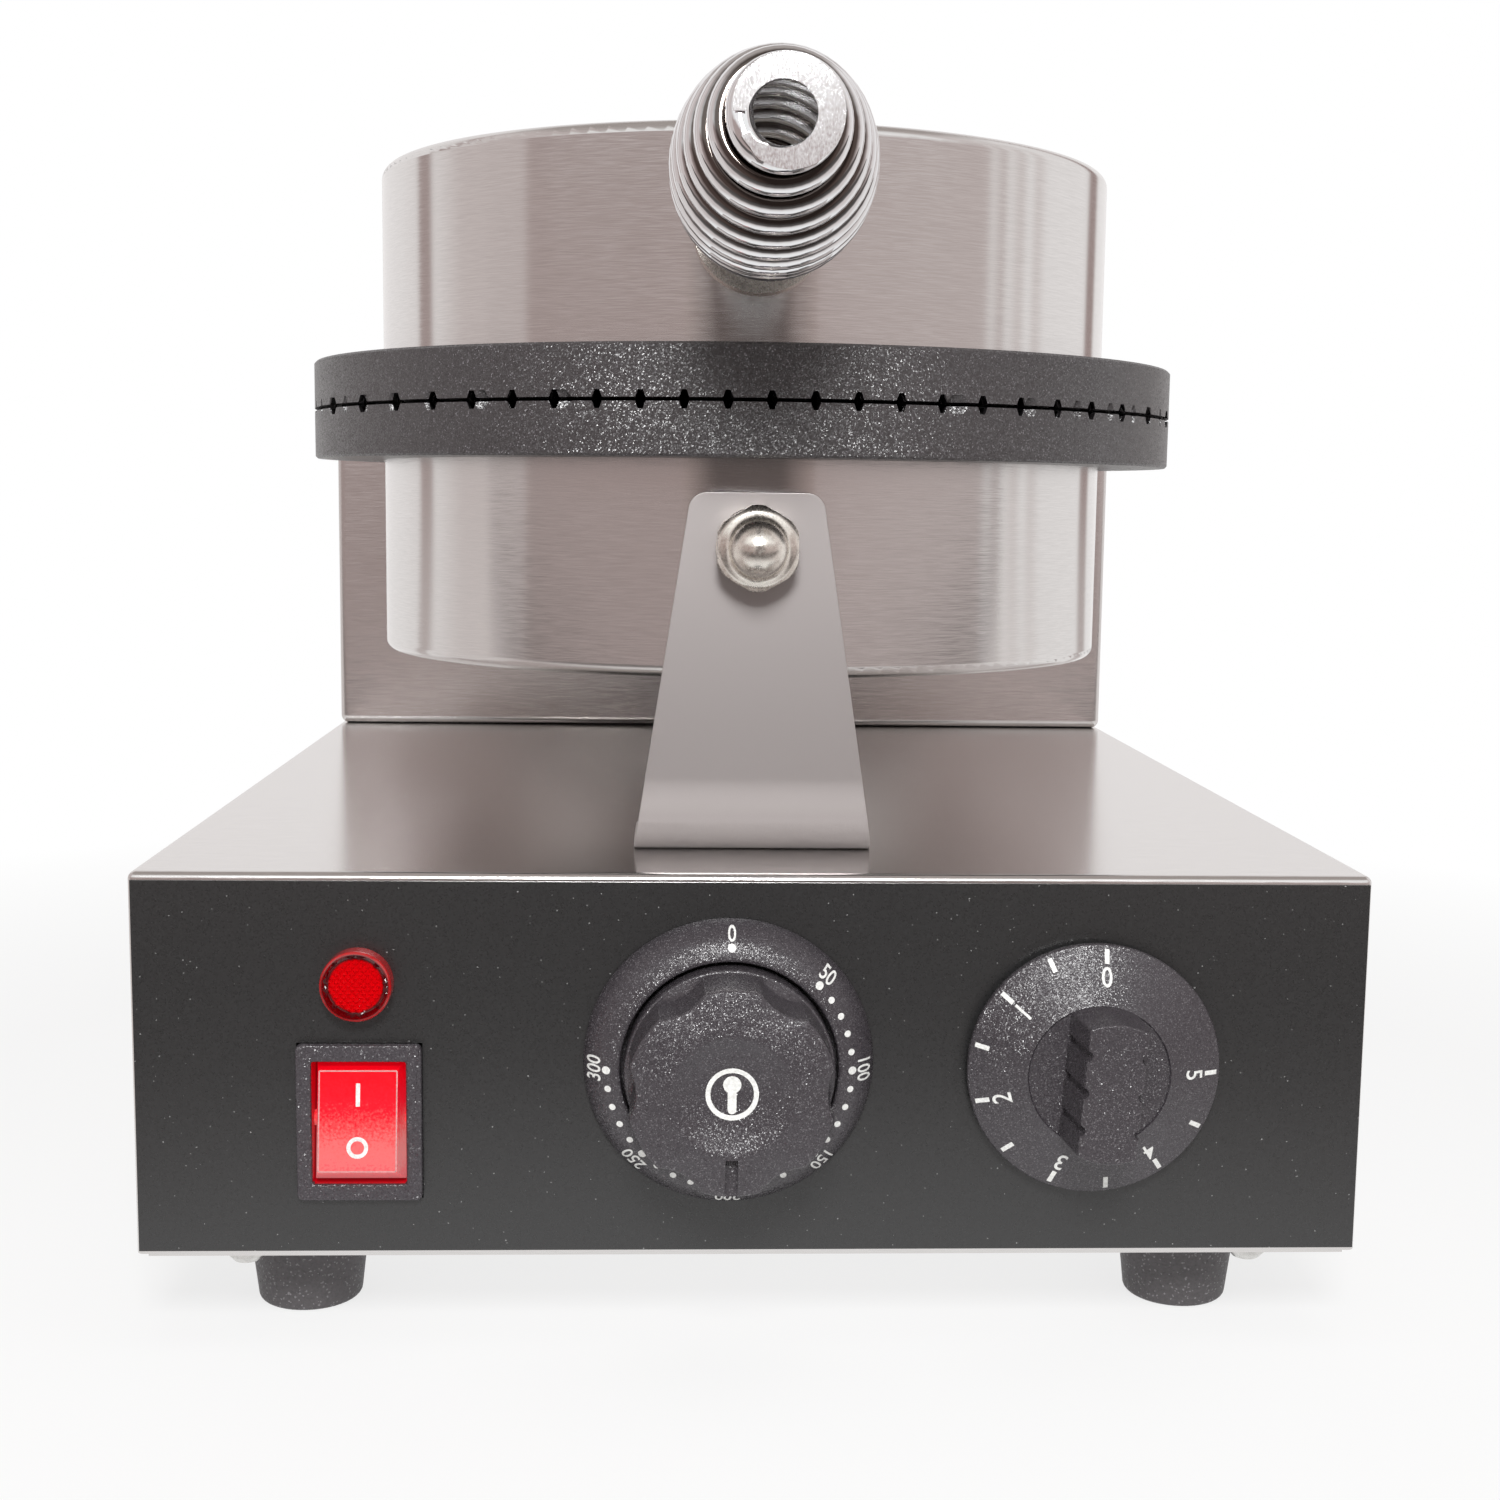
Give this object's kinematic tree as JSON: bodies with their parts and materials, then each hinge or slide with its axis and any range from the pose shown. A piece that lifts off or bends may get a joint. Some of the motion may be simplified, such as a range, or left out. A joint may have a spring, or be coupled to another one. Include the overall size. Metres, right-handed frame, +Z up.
{
  "type": "waffle cone maker",
  "caption": "Countertop cone baker with a steel box base, round grid plates under a hinged heater lid, coil handle, thermostat knob, timer knob, rocker switch and lamp.",
  "frame": {"origin": "on the floor under the middle of the whole part's length and width", "axes": "+X to the right of someone who faces the control panel, +Y to the rear, +Z up"},
  "size_m": [0.25, 0.3864, 0.2543],
  "materials": {
    "black_panel": "satin black film on sheet",
    "black_plastic": "fine textured black plastic",
    "brushed_steel": "brushed stainless sheet with a satin grain",
    "chrome_wire": "polished chrome wire",
    "copper_bulb": "plain copper bulb",
    "foot_rubber": "black rubber",
    "gloss_black": "smooth black plastic",
    "heater_sheath": "dull steel sheath",
    "nonstick_aluminium": "charcoal non-stick coat with metal sparkle",
    "red_lens": "red prismatic lens",
    "red_rocker": "red see-through plastic",
    "spun_steel": "spun stainless, grain round the can",
    "steel_fasteners": "polished steel nuts, bolts and pin",
    "white_ceramic": "white heat-proof block",
    "zinc_parts": "zinc-plated tube and nuts",
    "zinc_screws": "plated screws"
  },
  "bodies": {
    "stand": {"base_housing": "brushed_steel", "control_panel": "black_panel", "bottom_cover": "brushed_steel", "rubber_feet": "foot_rubber", "foot_screws": "zinc_screws", "cover_screws": "zinc_screws", "front_bracket": "brushed_steel", "bracket_screws": "zinc_screws", "front_bolt": "steel_fasteners", "front_spacer": "steel_fasteners", "front_washer": "steel_fasteners", "front_cap_nut": "steel_fasteners", "rear_upright": "brushed_steel", "upright_cover": "brushed_steel", "upright_screws": "zinc_screws", "upright_cover_screws": "zinc_screws", "hinge_brackets": "brushed_steel", "hinge_bracket_screws": "zinc_screws", "hinge_pin": "steel_fasteners", "hinge_washers": "steel_fasteners", "hinge_cap_nuts": "steel_fasteners", "lower_can": "spun_steel", "lower_plate": "nonstick_aluminium", "lower_heater": "heater_sheath", "lower_heater_clamp": "heater_sheath", "lower_clamp_screws": "zinc_screws", "lower_pillars": "zinc_parts", "lower_can_screws": "zinc_screws", "sensor_bulb": "copper_bulb", "lead_nipple": "zinc_parts", "nipple_nuts": "zinc_parts", "switch_housing": "gloss_black", "lamp_holder": "black_plastic", "lamp_lens": "red_lens", "thermostat_dial": "black_plastic", "thermostat_unit": "zinc_parts", "timer_unit": "zinc_parts", "unit_screws": "zinc_screws", "terminal_block": "white_ceramic", "cord_gland": "black_plastic", "gland_nut": "black_plastic", "upright_lead_bush": "black_plastic"},
    "lid": {"upper_can": "spun_steel", "upper_plate": "nonstick_aluminium", "upper_heater": "heater_sheath", "upper_heater_clamp": "heater_sheath", "upper_clamp_screws": "zinc_screws", "upper_pillars": "zinc_parts", "upper_can_screws": "zinc_screws", "upper_lead_bush": "black_plastic", "handle_stud": "steel_fasteners", "handle_washer": "steel_fasteners", "handle_nuts": "steel_fasteners", "handle_coil": "chrome_wire"},
    "rocker": {"switch_rocker": "red_rocker"},
    "thermostat": {"thermostat_knob": "black_plastic", "thermostat_shaft": "steel_fasteners"},
    "timer": {"timer_knob": "black_plastic", "timer_shaft": "steel_fasteners"}
  },
  "joints": [
    {"name": "lid_hinge", "type": "hinge", "parent": "stand", "child": "lid", "pos_m": [0, 0.11767, 0.1938], "axis": [-1, 0, 0], "range_deg": [0, 96]},
    {"name": "thermostat_turn", "type": "hinge", "parent": "stand", "child": "thermostat", "pos_m": [-0.0055, -0.12883, 0.0617], "axis": [0, 1, 0], "range_deg": [-180, 86]},
    {"name": "timer_turn", "type": "hinge", "parent": "stand", "child": "timer", "pos_m": [0.0682, -0.12883, 0.0608], "axis": [0, 1, 0], "range_deg": [0, 275]},
    {"name": "rocker_tilt", "type": "hinge", "parent": "stand", "child": "rocker", "pos_m": [-0.0795, -0.12633, 0.049], "axis": [1, 0, 0], "range_deg": [0, 18]}
  ]
}
